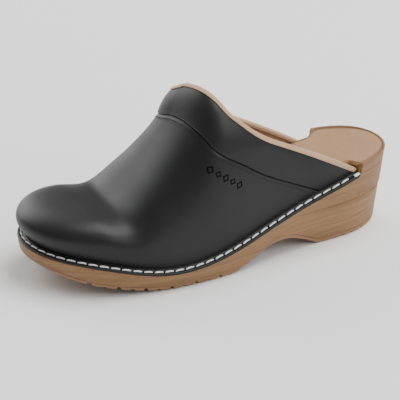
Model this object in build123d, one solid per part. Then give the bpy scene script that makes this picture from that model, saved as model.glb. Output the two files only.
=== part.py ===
from build123d import *
import math
import os

import numpy as np

# A left clog: sole on the XY plane (z = 0), toe at -X, heel at +X, outer side of the foot at -Y.
# Everything is in millimetres.

# ---- driving dimensions -------------------------------------------------------------------
TOE_X = -132.5
HEEL_X = 132.5
# Plan of the sole's rim, toe tip first, back along the outer side, then forward on the inner.
OUTER_SIDE = [(TOE_X, 10), (-126.3, -13), (-111.3, -30), (-84.8, -43.5), (-45, -50), (-5.3, -48.5),
              (31.8, -41.8), (66.3, -37), (98, -33.5), (120.6, -23), (HEEL_X - 1.3, -9)]
INNER_SIDE = [(HEEL_X - 1.3, 9), (120.6, 24), (98, 32), (66.3, 32), (31.8, 32), (-5.3, 37),
              (-45, 47), (-79.5, 52), (-107, 49), (-125.5, 33)]
MIDDLE_Y = 0.963             # the plan's own middle, which becomes y = 0
# Heights along the length: ledge under the upper, top of the insole, and underside of the tread.
LEDGE = [(TOE_X, 27.9), (-92.8, 21.3), (-53, 12.8), (-13.2, 15.2), (26.5, 25.6), (66.2, 37), (106, 47.4)]
SEAT = [(TOE_X, 31.5), (-92.8, 24.9), (-53, 16.4), (-13.2, 18.8), (26.5, 34), (55, 46.5),
        (79, 53.6), (104, 55.4), (HEEL_X, 55.6)]
UNDERSIDE = [(TOE_X - 8, 21.5), (TOE_X, 19), (-115, 12.6), (-80, 4.4), (-58, 0.9), (-46, 0)]
ARCH = [(-2, 0), (8, 3.6), (21.6, 10.4), (34, 12.9), (46, 12), (60, 6), (71, 0)]

SOLE_DRAFT_FRONT = 3.5      # how far the tread edge stands in from the rim, forefoot
SOLE_DRAFT_HEEL = 7.0       # and at the heel
LEDGE_WIDTH = 10.0          # ledge that carries the upper's turned-out edge
LEDGE_END_X = 105.0
OUTSOLE_THICK = 3.5
CUSHION_THICK = 2.0
COVER_THICK = 1.2
HEEL_RIM = 1.4              # bare wood beside the insole behind the upper
GROOVE_Z = 27.5             # moulded line round the heel
GROOVE_HEIGHT = 2.0
GROOVE_DEPTH = 1.1
LUG_PITCH = 9.2
LUG_WIDTH = 2.6
LUG_DEPTHS = (2.2, 1.1)     # deep and shallow grooves take turns
FRONT_LUG_X = -104.0
FRONT_LUGS = 11
HEEL_LUG_X = 82.0
HEEL_LUGS = 4
GAP = 0.1                   # glue line between layers

# Upper: ridge heights from the toe box to the instep, and the section that hangs from the ridge.
DOME_X = -95.0
RIDGE_END_X = 112.0
RIDGE = [(DOME_X, 53.5), (-70, 53.2), (-55, 66.2), (-45, 75.7), (-36, 85.5), (-28, 95.5),
         (-20, 108.8), (-12, 121.5), (-4, 128.2), (6, 132.2), (20, 136), (40, 127), (RIDGE_END_X, 131)]
RIDGE_OFFSET = [(DOME_X, 4.5), (0, 8), (RIDGE_END_X, 1)]
FULLNESS = [(DOME_X, 3.3), (0, 2.7), (RIDGE_END_X, 2.4)]
BULGE_TIP = 9.5
BULGE = [(DOME_X, 6), (0, 4), (RIDGE_END_X, 1.5)]
WALL_INSET = 5.0
FLANGE_THICK = 1.6
FLANGE_INSET = 0.3
LEATHER = 1.6
BACKING = 0.8               # toe puff, interlining and tape
LINING = 0.9
PAD_HEIGHT = 1.8            # how far the padded collar stands out
# Side-view lines: seam between vamp and collar, and the collar's top edge.
SEAM = [(-28.5, 118), (-26, 108), (-19.8, 101), (-12.6, 91.5), (5.8, 78.8), (20.6, 68.2), (41, 56.3),
        (62.7, 44.4), (74, 38), (86, 30)]
TOPLINE = [(-12.5, 128), (-3.5, 119.5), (0.4, 113.5), (7.6, 106.5), (18.6, 97), (35, 86.2),
           (54.4, 75.6), (77, 62.8), (98.7, 49.2), (112, 40)]
SEAM_SKEW = 9.2             # how much further forward the lines run on the inner side
TOPLINE_SKEW = 15.0
BINDING_LEG = 1.8
BINDING_THICK = 0.7

STITCH_INSET = 2.6
STITCH_PITCH = 7.4
STITCH_LENGTH = 6.0
STITCH_RADIUS = 0.6
STITCH_END_X = 96.0
INNER_SHORTER = 11.0        # the inner rear corner lies this much further forward
TACK_LENGTH = 4.5
FINE_INSET = 2.2
FINE_PITCH = 3.0
FINE_LENGTH = 2.1
FINE_RADIUS = 0.3
SKY = 160.0
WIDE = 80.0

GRID_ALONG = 26
PUFF_ROWS = 15
PLAN_POINTS = 88
ACROSS = np.sin(np.linspace(-1, 1, 29) * math.pi / 2 * 0.92) / math.sin(math.pi / 2 * 0.92)
WALL_FOOT = FLANGE_THICK + GAP / 2


# ---- smooth curves ------------------------------------------------------------------------
def bends(t, v, periodic=False, flat_start=False):
    """Second derivatives of the cubic spline through v at t."""
    n = len(t)
    step = np.diff(t)
    slope = np.diff(v) / step
    a = np.zeros((n, n))
    b = np.zeros(n)
    for i in range(1, n - 1):
        a[i, i - 1:i + 2] = step[i - 1], 2 * (step[i - 1] + step[i]), step[i]
        b[i] = 6 * (slope[i] - slope[i - 1])
    a[0, 0] = a[-1, -1] = 1
    if periodic:
        a[0, -1] = -1
        a[-1, :2] = 2 * step[0], step[0]
        a[-1, -2:] = step[-1], 2 * step[-1]
        b[-1] = 6 * (slope[0] - slope[-1])
    elif flat_start:
        a[0, :2] = 2 * step[0], step[0]
        b[0] = 6 * slope[0]
    return np.linalg.solve(a, b)


def spline_at(points, x, **ends):
    """Value at x of the smooth curve through (x, value) points, held beyond its ends."""
    t = np.array([p[0] for p in points], float)
    v = np.array([p[1] for p in points], float)
    x = np.clip(np.asarray(x, float), t[0], t[-1])
    m = bends(t, v, **ends)
    i = np.clip(np.searchsorted(t, x) - 1, 0, len(t) - 2)
    h = t[i + 1] - t[i]
    a = (t[i + 1] - x) / h
    b = 1 - a
    return a * v[i] + b * v[i + 1] + ((a ** 3 - a) * m[i] + (b ** 3 - b) * m[i + 1]) * h * h / 6


def between(points, x):
    return np.interp(x, [p[0] for p in points], [p[1] for p in points])


def smooth(low, high, x):
    """0 below low, 1 above high, and an even step between them."""
    t = np.clip((x - low) / (high - low), 0, 1)
    return t * t * (3 - 2 * t)


def ledge_height(x):
    return spline_at(LEDGE, x)


def underside_height(x):
    front = spline_at(UNDERSIDE, np.minimum(x, UNDERSIDE[-1][0]))
    arch = spline_at(ARCH, np.clip(x, ARCH[0][0], ARCH[-1][0]))
    return np.maximum(np.where(np.asarray(x) < UNDERSIDE[-1][0], front, arch), 0)


def rim_plan(count, inset=0.0):
    """Points of the sole's plan, evenly spaced from the toe tip; inset may depend on x."""
    p = np.array(OUTER_SIDE + INNER_SIDE + OUTER_SIDE[:1], float) - (0, MIDDLE_Y)
    t = np.r_[0, np.cumsum(np.sqrt(np.linalg.norm(np.diff(p, axis=0), axis=1)))]
    s = np.linspace(0, t[-1], 4001)
    q = np.c_[spline_at(list(zip(t, p[:, 0])), s, periodic=True),
              spline_at(list(zip(t, p[:, 1])), s, periodic=True)]
    run = np.r_[0, np.cumsum(np.linalg.norm(np.diff(q, axis=0), axis=1))]
    u = np.linspace(0, run[-1], count, endpoint=False)
    o = np.c_[np.interp(u, run, q[:, 0]), np.interp(u, run, q[:, 1])]
    along = np.roll(o, -1, 0) - np.roll(o, 1, 0)
    along /= np.linalg.norm(along, axis=1)[:, None]
    outward = np.c_[along[:, 1], -along[:, 0]]
    if ((o - o.mean(0)) * outward).sum() < 0:
        outward = -outward
    depth = inset(o[:, 0]) if callable(inset) else inset
    return o - outward * np.reshape(depth, (-1, 1))


# ---- building blocks ----------------------------------------------------------------------
def polygon_face(corners):
    return Face(Wire(Polyline(*corners, close=True).edges()))


def plan_face(points, z=0.0):
    return polygon_face([(x, y, z) for x, y in points])


def prism(inset, low=-5.0, high=SKY, count=PLAN_POINTS):
    return extrude(plan_face(rim_plan(count, inset), low), high - low, dir=(0, 0, 1))


def drafted_block(extra=0.0, count=PLAN_POINTS):
    """The sole's side wall: the rim's plan at the ledge, drawn in towards the ground."""
    rim = rim_plan(count)
    x = rim[:, 0]
    height = np.where(x < LEDGE_END_X, ledge_height(x), SEAT[-1][1])
    blend = np.clip((x - 10) / 60, 0, 1)
    draft = (SOLE_DRAFT_FRONT * (1 - blend) + SOLE_DRAFT_HEEL * blend) / height
    top = 62.0
    low = plan_face(rim_plan(count, draft * height + extra))
    high = plan_face(rim_plan(count, draft * (height - top) + extra), top)
    return loft([low, high], ruled=True)


def side_slab(low, high, start, end, steps=60):
    """Everything between two height curves, from x = start to x = end, across the full width."""
    xs = np.linspace(start, end, steps)
    under = [(x, -WIDE, float(low(x))) for x in xs]
    over = [(x, -WIDE, float(high(x))) for x in xs[::-1]]
    return extrude(polygon_face(under + over), 2 * WIDE, dir=(0, 1, 0))


def shifted(line, shift):
    p = np.array(line, float)
    along = np.gradient(p, axis=0)
    along /= np.linalg.norm(along, axis=1)[:, None]
    return p + shift * np.c_[-along[:, 1], along[:, 0]]


# ---- the upper's reference surface ----------------------------------------------------------
class UpperForm:
    """Outer face of the vamp, carried on as a closed arch to the heel.

    (along, across) runs over a half stadium: along < 0 is the toe dome, a half disc of ribs round
    DOME_X, and along from 0 to 1 is a row of arches, one at each x."""

    def __init__(self):
        foot = rim_plan(1200, WALL_INSET)
        foot = np.roll(foot, -int(np.argmin(foot[:, 0])), 0)
        heel = int(np.argmax(foot[:, 0]))
        first = foot[:heel + 1]
        second = np.r_[foot[:1], foot[heel:][::-1]]
        self.outer, self.inner = sorted((first, second), key=lambda side: side[:, 1].mean())

    def foot(self, side, along):
        line = self.outer if side < 0 else self.inner
        turn = int(np.argmax(line[:, 0] >= DOME_X))
        run = np.r_[0, np.cumsum(np.linalg.norm(np.diff(line[:turn + 1], axis=0), axis=1))]
        s = np.clip(1 + along, 0, 1) * run[-1]
        toe = np.c_[np.interp(s, run, line[:turn + 1, 0]), np.interp(s, run, line[:turn + 1, 1])]
        x = DOME_X + np.clip(along, 0, None) * (RIDGE_END_X - DOME_X)
        last = int(np.argmax(line[:, 0] >= RIDGE_END_X)) + 1
        back = np.c_[x, np.interp(x, line[turn:last, 0], line[turn:last, 1])]
        return np.where((along > 0)[:, None], back, toe)

    def points(self, along, across):
        shape = np.shape(along)
        u = np.ravel(along)
        v = np.ravel(across)
        front = u < 0
        radius = np.clip(np.where(front, np.hypot(u, v), np.abs(v)), 0, 1)
        turn = np.where(front, np.arctan2(np.abs(v), -u) / (math.pi / 2), 0)
        place = np.where(front, turn - 1, u)
        foot = np.where((v < 0)[:, None], self.foot(-1, place), self.foot(1, place))
        x = np.where(front, DOME_X, DOME_X + u * (RIDGE_END_X - DOME_X))
        ridge = np.c_[x, between(RIDGE_OFFSET, x) - MIDDLE_Y]
        top = spline_at(RIDGE, x, flat_start=True)
        low = ledge_height(foot[:, 0]) + WALL_FOOT
        power = between(FULLNESS, x)
        bulge = np.where(front, BULGE_TIP + (BULGE[0][1] - BULGE_TIP) * turn ** 2, between(BULGE, x))
        angle = (1 - radius) * math.pi / 2
        c = np.cos(angle)
        s = np.sin(angle)
        size = (c ** power + s ** power) ** (-1 / power)
        reach = foot - ridge
        length = np.linalg.norm(reach, axis=1)
        out = length * c * size + bulge * np.sin(2 * angle) * c
        plan = ridge + reach / length[:, None] * out[:, None]
        return np.c_[plan, low + (top - low) * s * size].reshape(shape + (3,))

    def normals(self, along, across):
        step = 2e-3
        radius = np.where(along < 0, np.hypot(along, across), np.abs(across))
        shrink = np.minimum(1, (1 - 1.5 * step) / np.maximum(radius, 1e-9))
        u = np.where(along < 0, along * shrink, along)
        v = across * shrink
        du = self.points(u + step, v) - self.points(u - step, v)
        dv = self.points(u, v + step) - self.points(u, v - step)
        normal = np.cross(du, dv)
        return normal / np.linalg.norm(normal, axis=-1)[..., None]

    def offset(self, along, across, distance):
        shift = self.normals(along, across) * np.reshape(distance, np.shape(distance) + (1,))
        return self.points(along, across) + shift

    def crossing(self, line, across, skew=SEAM_SKEW):
        """How far along the arches a side-view line crosses each row of constant across."""
        heights = sorted((z, x) for x, z in line)
        forward = skew * smooth(-0.3, 0.3, across)
        low = np.zeros(np.shape(across))
        high = np.ones(np.shape(across))
        for _ in range(30):
            mid = (low + high) / 2
            p = self.points(mid, across)
            past = p[..., 0] > spline_at(heights, p[..., 2]) - forward
            high = np.where(past, mid, high)
            low = np.where(past, low, mid)
        return mid


# ---- sheets of leather and cloth --------------------------------------------------------------
def vamp_grid(form, first=0, last=GRID_ALONG):
    """Half-stadium coordinates from the toe's foot line through the dome to the seam."""
    u, v = np.meshgrid(np.linspace(-1, 1, GRID_ALONG)[first:last], ACROSS, indexing="ij")
    dome = np.minimum(u, 0)
    along = np.where(u < 0, u * np.sqrt(1 - v ** 2 / 2), u * form.crossing(SEAM, v))
    across = v * np.sqrt(1 - dome ** 2 / 2)
    return along, across


def collar_grid(form, start, end, rows):
    """Half-stadium coordinates between the seam (0) and the top edge (1), and how far up."""
    u, v = np.meshgrid(np.linspace(start, end, rows), ACROSS, indexing="ij")
    seam = form.crossing(SEAM, v)
    top = form.crossing(TOPLINE, v, TOPLINE_SKEW)
    return seam + u * (top - seam), v, u


def grid_quads(rows, columns):
    corner = np.arange(rows * columns).reshape(rows, columns)
    return [(corner[i, j], corner[i + 1, j], corner[i + 1, j + 1], corner[i, j + 1])
            for i in range(rows - 1) for j in range(columns - 1)]


def thick_sheet(outside, inside, quads):
    """A closed solid between two skins of matching points, with flat triangular facets."""
    used = {}
    for quad in quads:
        for a, b in zip(quad, quad[1:] + quad[:1]):
            used[(a, b)] = used.get((a, b), 0) + 1
    count = len(outside)
    points = [Vector(*map(float, p)) for p in np.concatenate([outside, inside])]
    loops = list(quads) + [(count + a, count + d, count + c, count + b) for a, b, c, d in quads]
    loops += [(b, a, count + a, count + b) for a, b in used if (b, a) not in used]
    facets = []
    for a, b, c, d in loops:
        for triangle in ((a, b, c), (a, c, d)):
            p, q, r = (points[i] for i in triangle)
            if (q - p).cross(r - p).length > 1e-5:
                facets.append(Face(Wire([Line(p, q), Line(q, r), Line(r, p)])))
    return Solid(Shell(facets))


def sheet(form, along, across, outside, inside):
    rows, columns = along.shape
    skins = [form.offset(along, across, d + 0 * along).reshape(-1, 3) for d in (outside, inside)]
    return thick_sheet(skins[0], skins[1], grid_quads(rows, columns))


def flange_rows(foot, turned):
    """Rows of points that carry a wall's foot out along the ledge, for each skin."""
    plan = foot[:, :2]
    along = np.gradient(plan, axis=0)
    along /= np.linalg.norm(along, axis=1)[:, None]
    outward = turned * np.c_[along[:, 1], -along[:, 0]]
    rows = []
    for reach, lift in ((1.5, FLANGE_THICK), (WALL_INSET - FLANGE_INSET, FLANGE_THICK),
                        (-LEATHER, 0), (WALL_INSET - FLANGE_INSET, 0)):
        spot = plan + outward * reach
        rows.append(np.c_[spot, ledge_height(spot[:, 0]) + GAP / 2 + lift])
    return rows[:2], rows[2:]


def turned_out_sheet(form, along, across, outside, inside, foot_path, turned):
    """A wall whose lower edge, along foot_path through its grid, is turned out as a flange."""
    rows, columns = along.shape
    skins = [form.offset(along, across, d + 0 * along).reshape(-1, 3) for d in (outside, inside)]
    quads = grid_quads(rows, columns)
    for path in foot_path:
        ids = [i * columns + j for i, j in path]
        foot = form.points(along, across).reshape(-1, 3)[ids]
        top_rows, low_rows = flange_rows(foot, turned)
        for top, low in zip(top_rows, low_rows):
            start = len(skins[0])
            skins = [np.concatenate([skins[0], top]), np.concatenate([skins[1], low])]
            new = list(range(start, start + len(ids)))
            quads += [(a, b, d, c) for a, b, c, d in zip(ids, ids[1:], new, new[1:])]
            ids = new
    return thick_sheet(skins[0], skins[1], quads)


def pad(u):
    """How far the padding lifts the collar, from its seam (0) to its top edge (1)."""
    return PAD_HEIGHT * np.sin(math.pi * np.clip(u, 0, 1)) ** 0.8


# ---- sub-parts: sole ------------------------------------------------------------------------
def insole_inset(x):
    return between([(LEDGE_END_X - 9, LEDGE_WIDTH + 0.3), (LEDGE_END_X + 4, HEEL_RIM + 0.2)], x)


def seat(x, below=0.0):
    return spline_at(SEAT, x) - below


def make_wood_sole():
    whole = side_slab(lambda x: underside_height(x) + OUTSOLE_THICK + GAP / 2, seat,
                      TOE_X - 6, HEEL_X + 6)
    body = drafted_block() & whole
    ledge = side_slab(ledge_height, lambda x: 0 * x + SKY, TOE_X - 8, LEDGE_END_X)
    ledge -= prism(LEDGE_WIDTH)
    deck = CUSHION_THICK + COVER_THICK + GAP
    recess = prism(lambda x: insole_inset(x) - 0.2) & side_slab(
        lambda x: seat(x, deck), lambda x: 0 * x + SKY, TOE_X - 8, HEEL_X + 8)
    band = Pos(HEEL_X, 0, GROOVE_Z) * Box(150, 2 * WIDE, GROOVE_HEIGHT)
    groove = band - drafted_block(GROOVE_DEPTH)
    return body - ledge - recess - groove


def make_outsole():
    plate = side_slab(underside_height, lambda x: underside_height(x) + OUTSOLE_THICK - GAP / 2,
                      TOE_X - 6, HEEL_X + 6, steps=90)
    tread = drafted_block(0.4) & plate
    lugs = [(FRONT_LUG_X + i * LUG_PITCH, LUG_DEPTHS[i % 2]) for i in range(FRONT_LUGS)]
    lugs += [(HEEL_LUG_X + i * LUG_PITCH, LUG_DEPTHS[1]) for i in range(HEEL_LUGS)]
    for x, depth in lugs:
        rise = float(underside_height(x + 1) - underside_height(x - 1))
        cut = Box(LUG_WIDTH, 2 * WIDE, 2 * depth)
        place = Pos(x, 0, float(underside_height(x))) * Rot(0, -math.degrees(math.atan2(rise, 2)), 0)
        tread -= place * cut
    return tread


def make_footbed(top, bottom):
    layer = side_slab(lambda x: seat(x, bottom), lambda x: seat(x, top), TOE_X - 4, HEEL_X + 4)
    return prism(insole_inset) & layer


# ---- sub-parts: upper -----------------------------------------------------------------------
def make_vamp(form):
    along, across = vamp_grid(form)
    rows, columns = along.shape
    foot = [(i, 0) for i in range(rows - 1, 0, -1)]
    foot += [(0, j) for j in range(columns)]
    foot += [(i, columns - 1) for i in range(1, rows)]
    return turned_out_sheet(form, along, across, 0, -LEATHER, [foot], -1)


def make_collar(form):
    along, across, u = collar_grid(form, 0.01, 1, 9)
    rows, columns = along.shape
    outer_foot = [(i, 0) for i in range(rows - 1, -1, -1)]
    inner_foot = [(i, columns - 1) for i in range(rows)]
    lift = pad(u) * (1 - np.abs(across) ** 8)
    return turned_out_sheet(form, along, across, lift, lift - LEATHER, [outer_foot, inner_foot], -1)


def make_backing(form, first, last):
    along, across = vamp_grid(form, first, last)
    outside = -LEATHER - GAP
    return sheet(form, along, across, outside, outside - BACKING)


def make_vamp_lining(form):
    along, across = vamp_grid(form)
    outside = -LEATHER - BACKING - 2 * GAP
    return sheet(form, along, across, outside, outside - LINING)


def make_collar_layer(form, start, end, rows, outside, inside):
    along, across, u = collar_grid(form, start, end, rows)
    lift = pad(u) * (1 - np.abs(across) ** 8)
    outer, inner = (d + lift if follows else d + 0 * lift for d, follows in (outside, inside))
    return sheet(form, along, across, outer, inner)


def make_binding(form):
    """A strip folded over the collar's top edge, from one rear corner round to the other."""
    v = ACROSS
    seam = form.crossing(SEAM, v)
    top = form.crossing(TOPLINE, v, TOPLINE_SKEW)
    edge = form.points(top, v)
    step = 1e-3
    climb = (form.points(top, v) - form.points(top - step, v)) / step
    beyond = np.cross(form.normals(top, v), np.gradient(edge, axis=0))
    beyond /= np.linalg.norm(beyond, axis=1)[:, None]
    beyond *= np.sign((beyond * climb).sum(1))[:, None]
    leg = np.minimum(BINDING_LEG / (climb * beyond).sum(1), 0.8 * (top - seam))
    skin = LEATHER + BACKING + LINING + 3 * GAP
    thick = BINDING_THICK
    # down the leg, on the outer face or not, lift over the edge, growth outwards and upwards
    section = [(1, 1, 0, thick, 0), (0.5, 1, 0, thick, 0), (0, 1, GAP, thick, thick / 2),
               (0, 0.5, GAP, 0, 1.5 * thick),
               (0, 0, GAP, -thick, thick / 2), (0.5, 0, 0, -thick, 0), (1, 0, 0, -thick, 0)]
    skins = []
    for grow in (1, 0):
        rows = []
        for share, outer, up, thick_out, thick_up in section:
            place = top - share * leg
            lift = pad(1 - share * leg / (top - seam)) * (1 - np.abs(v) ** 8)
            out = outer * (lift + GAP) - (1 - outer) * skin + grow * thick_out
            row = form.offset(place, v, out) + beyond * (up + grow * thick_up)
            floor = ledge_height(row[:, 0]) + WALL_FOOT + GAP * (2 - grow)
            row[:, 2] = np.maximum(row[:, 2], floor)
            rows.append(row)
        skins.append(np.concatenate(rows))
    return thick_sheet(skins[0], skins[1], grid_quads(len(section), len(v)))


# ---- sub-parts: thread ----------------------------------------------------------------------
def edge_line(count, inset):
    """Evenly spaced places along the rim, from the outer rear corner round the toe."""
    dense = rim_plan(2400, inset)
    dense = np.roll(dense, -int(np.argmax(dense[:, 0])), 0)
    run = np.r_[0, np.cumsum(np.linalg.norm(np.diff(dense, axis=0), axis=1))]
    end = np.where(dense[:, 1] < 0, STITCH_END_X, STITCH_END_X - INNER_SHORTER)
    keep = run[dense[:, 0] < end]
    s = np.linspace(keep[0], keep[-1], count)
    return np.c_[np.interp(s, run, dense[:, 0]), np.interp(s, run, dense[:, 1])], keep[-1] - keep[0]


def on_flange(spot):
    return Vector(*map(float, spot), float(ledge_height(spot[0])) + WALL_FOOT + STITCH_RADIUS + GAP)


def thread(start, end, radius):
    return Plane(origin=(start + end) / 2, z_dir=end - start) * Cylinder(radius, (end - start).length)


def make_welt_stitches():
    length = edge_line(2, STITCH_INSET)[1]
    places = edge_line(int(length / STITCH_PITCH), STITCH_INSET)[0]
    stitches = []
    for before, here, after in zip(places, places[1:], places[2:]):
        half = (after - before) / np.linalg.norm(after - before) * STITCH_LENGTH / 2
        stitches.append(thread(on_flange(here - half), on_flange(here + half), STITCH_RADIUS))
    return Compound(children=stitches)


def make_bar_tacks():
    bars = []
    for inset in (STITCH_INSET - 1.6, STITCH_INSET - 0.2):
        line = edge_line(60, inset)[0]
        for tip, before in ((line[0], line[1]), (line[-1], line[-2])):
            unit = (tip - before) / np.linalg.norm(tip - before)
            bars.append(thread(on_flange(tip), on_flange(tip + unit * TACK_LENGTH), STITCH_RADIUS))
    return Compound(children=bars)


def make_collar_stitches(form):
    v = np.linspace(-0.97, 0.97, 400)
    line = [(x, z) for x, z in shifted(SEAM, -FINE_INSET)]
    walk = form.offset(form.crossing(line, v), v, np.full(v.shape, FINE_RADIUS + GAP))
    run = np.r_[0, np.cumsum(np.linalg.norm(np.diff(walk, axis=0), axis=1))]
    stitches = []
    for s in np.arange(FINE_PITCH, run[-1] - FINE_PITCH, FINE_PITCH):
        start, end = (Vector(*(float(np.interp(s + d, run, walk[:, k])) for k in range(3)))
                      for d in (-FINE_LENGTH / 2, FINE_LENGTH / 2))
        stitches.append(thread(start, end, FINE_RADIUS))
    return Compound(children=stitches)


def build_all():
    form = UpperForm()
    core = -LEATHER - GAP
    lining = -LEATHER - BACKING - 2 * GAP
    return {
        "wood_sole": make_wood_sole(),
        "outsole": make_outsole(),
        "footbed_cushion": make_footbed(COVER_THICK + GAP, CUSHION_THICK + COVER_THICK),
        "insole_cover": make_footbed(0, COVER_THICK),
        "vamp": make_vamp(form),
        "toe_puff": make_backing(form, 0, PUFF_ROWS),
        "vamp_interlining": make_backing(form, PUFF_ROWS, GRID_ALONG),
        "vamp_lining": make_vamp_lining(form),
        "collar": make_collar(form),
        "collar_padding": make_collar_layer(form, 0.06, 0.82, 9, (core, True), (core - BACKING, False)),
        "topline_tape": make_collar_layer(form, 0.86, 0.97, 2, (core, False), (core - BACKING, False)),
        "collar_lining": make_collar_layer(form, 0.01, 1, 9, (lining, False), (lining - LINING, False)),
        "topline_binding": make_binding(form),
        "welt_stitches": make_welt_stitches(),
        "bar_tacks": make_bar_tacks(),
        "collar_stitches": make_collar_stitches(form),
    }


def export_all(parts):
    os.makedirs("parts", exist_ok=True)
    for name, shape in parts.items():
        export_step(shape, os.path.join("parts", name + ".step"))
        print(name, len(shape.solids()), round(shape.volume))


export_all(build_all())
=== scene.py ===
import math

import bpy
import numpy as np
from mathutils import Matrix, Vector


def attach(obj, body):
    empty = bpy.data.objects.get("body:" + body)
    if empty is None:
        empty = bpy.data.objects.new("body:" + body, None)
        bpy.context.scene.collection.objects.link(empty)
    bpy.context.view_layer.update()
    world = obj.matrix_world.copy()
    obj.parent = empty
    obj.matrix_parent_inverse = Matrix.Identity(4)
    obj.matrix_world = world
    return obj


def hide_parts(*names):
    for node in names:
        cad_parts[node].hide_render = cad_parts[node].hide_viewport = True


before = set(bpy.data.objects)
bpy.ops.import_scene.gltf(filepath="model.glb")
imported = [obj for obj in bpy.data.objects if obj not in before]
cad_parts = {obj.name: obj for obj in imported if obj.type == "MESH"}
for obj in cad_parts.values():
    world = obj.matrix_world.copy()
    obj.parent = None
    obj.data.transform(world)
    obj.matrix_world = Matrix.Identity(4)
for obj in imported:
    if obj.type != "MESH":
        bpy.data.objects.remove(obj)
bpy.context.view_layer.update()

MM = 0.001

# ---- driving dimensions, in millimetres: toe at -X, heel at +X, outer side at -Y -------------
TOE_X = -132.5
HEEL_X = 132.5
OUTER_SIDE = [(TOE_X, 10), (-126.3, -13), (-111.3, -30), (-84.8, -43.5), (-45, -50), (-5.3, -48.5),
              (31.8, -41.8), (66.3, -37), (98, -33.5), (120.6, -23), (HEEL_X - 1.3, -9)]
INNER_SIDE = [(HEEL_X - 1.3, 9), (120.6, 24), (98, 32), (66.3, 32), (31.8, 32), (-5.3, 37),
              (-45, 47), (-79.5, 52), (-107, 49), (-125.5, 33)]
MIDDLE_Y = 0.963
LEDGE = [(TOE_X, 27.9), (-92.8, 21.3), (-53, 12.8), (-13.2, 15.2), (26.5, 25.6), (66.2, 37), (106, 47.4)]
SEAT = [(TOE_X, 31.5), (-92.8, 24.9), (-53, 16.4), (-13.2, 18.8), (26.5, 34), (55, 46.5),
        (79, 53.6), (104, 55.4), (HEEL_X, 55.6)]
UNDERSIDE = [(TOE_X - 8, 21.5), (TOE_X, 19), (-115, 12.6), (-80, 4.4), (-58, 0.9), (-46, 0)]
ARCH = [(-2, 0), (8, 3.6), (21.6, 10.4), (34, 12.9), (46, 12), (60, 6), (71, 0)]
DRAFT_FRONT = 3.5
DRAFT_HEEL = 7.0
OUTER_LEDGE_END = 101.3     # where the bare heel seat starts, on each side
INNER_LEDGE_END = 95.0
LEDGE_WIDTH = 10.0          # ledge that carries the upper's turned-out edge
OUTSOLE_THICK = 3.5
LUG_PITCH = 9.2
LUG_DEPTHS = (2.3, 1.1)     # deep and shallow grooves take turns
FRONT_LUG_X = -104.0
FRONT_LUGS = 11
HEEL_LUG_X = 82.0
HEEL_LUGS = 4
HEEL_LUG_DEPTH = 1.0
HEEL_RIM = 0.9              # bare wood beside the insole behind the upper
GROOVE_Z = 28.5             # moulded line round the heel
GROOVE_DEPTH = 1.15
LIP_RISE = 4.2              # a fainter line above it
LIP_DEPTH = 0.35
COVER_THICK = 1.2
CUSHION_THICK = 2.0
GAP = 0.1                   # glue line between layers

DOME_X = -95.0
RIDGE_END_X = 112.0
RIDGE = [(DOME_X, 53.5), (-70, 53.2), (-55, 66.2), (-45, 75.7), (-36, 85.5), (-28, 95.5),
         (-20, 108.8), (-12, 121.5), (-4, 128.2), (6, 132.2), (20, 136), (40, 127), (RIDGE_END_X, 131)]
RIDGE_OFFSET = [(DOME_X, 4.5), (0, 8), (RIDGE_END_X, 1)]
FULLNESS = [(DOME_X, 3.3), (0, 2.7), (RIDGE_END_X, 2.4)]
BULGE_TIP = 9.5
BULGE = [(DOME_X, 6), (0, 4), (RIDGE_END_X, 1.5)]
WALL_INSET = 5.0
WALL_FOOT = 3.6
SEAM = [(-28.5, 118), (-26, 108), (-19.8, 101), (-12.6, 91.5), (5.8, 78.8), (20.6, 68.2), (41, 56.3),
        (62.7, 44.4), (74, 38), (86, 30)]
TOPLINE = [(-12.5, 128), (-3.5, 119.5), (0.4, 113.5), (7.6, 106.5), (18.6, 97), (35, 86.2),
           (54.4, 75.6), (77, 62.8), (98.7, 49.2), (112, 40)]
SEAM_SKEW = 9.2             # how much further forward the lines run on the inner side
TOPLINE_SKEW = 15.0
LEATHER = 1.6
BACKING = 0.8
LINING = 0.9
PAD_HEIGHT = 1.8
FLANGE_TOP = 1.65           # top of the turned-out edge above the ledge
BINDING_LEG = 1.8
BINDING_THICK = 0.7
STITCH_INSET = 2.6
STITCH_PITCH = 7.2
STITCH_LENGTH = 6.5
STITCH_RADIUS = 0.6
STITCH_END_X = 96.0
STITCH_LIFT = 0.55          # thread's middle above the flange
STITCH_SLANT = 0.28
TACK_LENGTH = 4.5
INNER_SHORTER = 11.0        # the inner rear corner lies this much further forward
SEAM_STITCH_INSET = 2.4
SEAM_STITCH_PITCH = 3.0
SEAM_STITCH_HALF = 1.05
SEAM_STITCH_RADIUS = 0.32


# ---- smooth curves ----------------------------------------------------------------------------
def bends(t, v, periodic=False, flat_start=False):
    """Second derivatives of the cubic spline through v at t."""
    n = len(t)
    step = np.diff(t)
    slope = np.diff(v) / step
    a = np.zeros((n, n))
    b = np.zeros(n)
    for i in range(1, n - 1):
        a[i, i - 1:i + 2] = step[i - 1], 2 * (step[i - 1] + step[i]), step[i]
        b[i] = 6 * (slope[i] - slope[i - 1])
    a[0, 0] = a[-1, -1] = 1
    if periodic:
        a[0, -1] = -1
        a[-1, :2] = 2 * step[0], step[0]
        a[-1, -2:] = step[-1], 2 * step[-1]
        b[-1] = 6 * (slope[0] - slope[-1])
    elif flat_start:
        a[0, :2] = 2 * step[0], step[0]
        b[0] = 6 * slope[0]
    return np.linalg.solve(a, b)


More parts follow.
